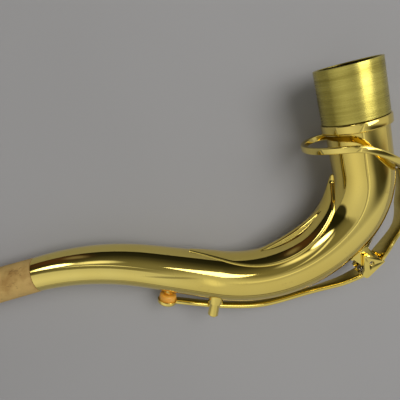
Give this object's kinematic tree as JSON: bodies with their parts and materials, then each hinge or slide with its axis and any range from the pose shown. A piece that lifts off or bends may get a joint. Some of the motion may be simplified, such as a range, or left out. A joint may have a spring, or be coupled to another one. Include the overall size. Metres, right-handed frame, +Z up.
{
  "type": "tenor saxophone neck",
  "caption": "Curved, tapered brass neck of a tenor saxophone with tenon, corked mouthpiece end and a sprung, hinged octave key: a ring round the tube and an arm with a small pad.",
  "frame": {"origin": "bottom centre of the bounding box; the neck lies on its side, resting on the key ring, the side of the bend and the cork, and Z = 0 is the surface it lies on", "axes": "+X from the mouthpiece end towards the tenon side of the bend, +Y the way the open tenon points (tilted up by about 8 degrees), +Z up from the surface"},
  "size_m": [0.2162, 0.0992, 0.0414],
  "materials": {
    "lacquered_brass": "glossy clear lacquer",
    "raw_brass": "unlacquered, turned satin",
    "cork": "matt sanded cork",
    "pad_leather": "amber skin",
    "spring_steel": "bright steel"
  },
  "bodies": {
    "neck": {"neck_tube": "lacquered_brass", "tenon_sleeve": "raw_brass", "tenon_ferrule": "lacquered_brass", "mouthpiece_cork": "cork", "neck_brace": "lacquered_brass", "octave_pip": "lacquered_brass", "guide_post": "lacquered_brass", "hinge_saddle": "lacquered_brass", "hinge_screw": "spring_steel"},
    "octave_key": {"key_ring": "lacquered_brass", "key_strap": "lacquered_brass", "hinge_yoke": "lacquered_brass", "key_arm": "lacquered_brass", "pad_cup": "lacquered_brass", "octave_pad": "pad_leather", "flat_spring": "spring_steel", "spring_screw": "spring_steel"}
  },
  "joints": [
    {"name": "octave_key_hinge", "type": "hinge", "parent": "neck", "child": "octave_key", "pos_m": [0.08579, -0.03849, 0.01304], "axis": [-0.0484, -0.1394, 0.9891], "range_deg": [0, 2.5], "stiffness_Nm_per_rad": 0.6, "springref_deg": -4.58, "deforming": ["flat_spring"]}
  ]
}
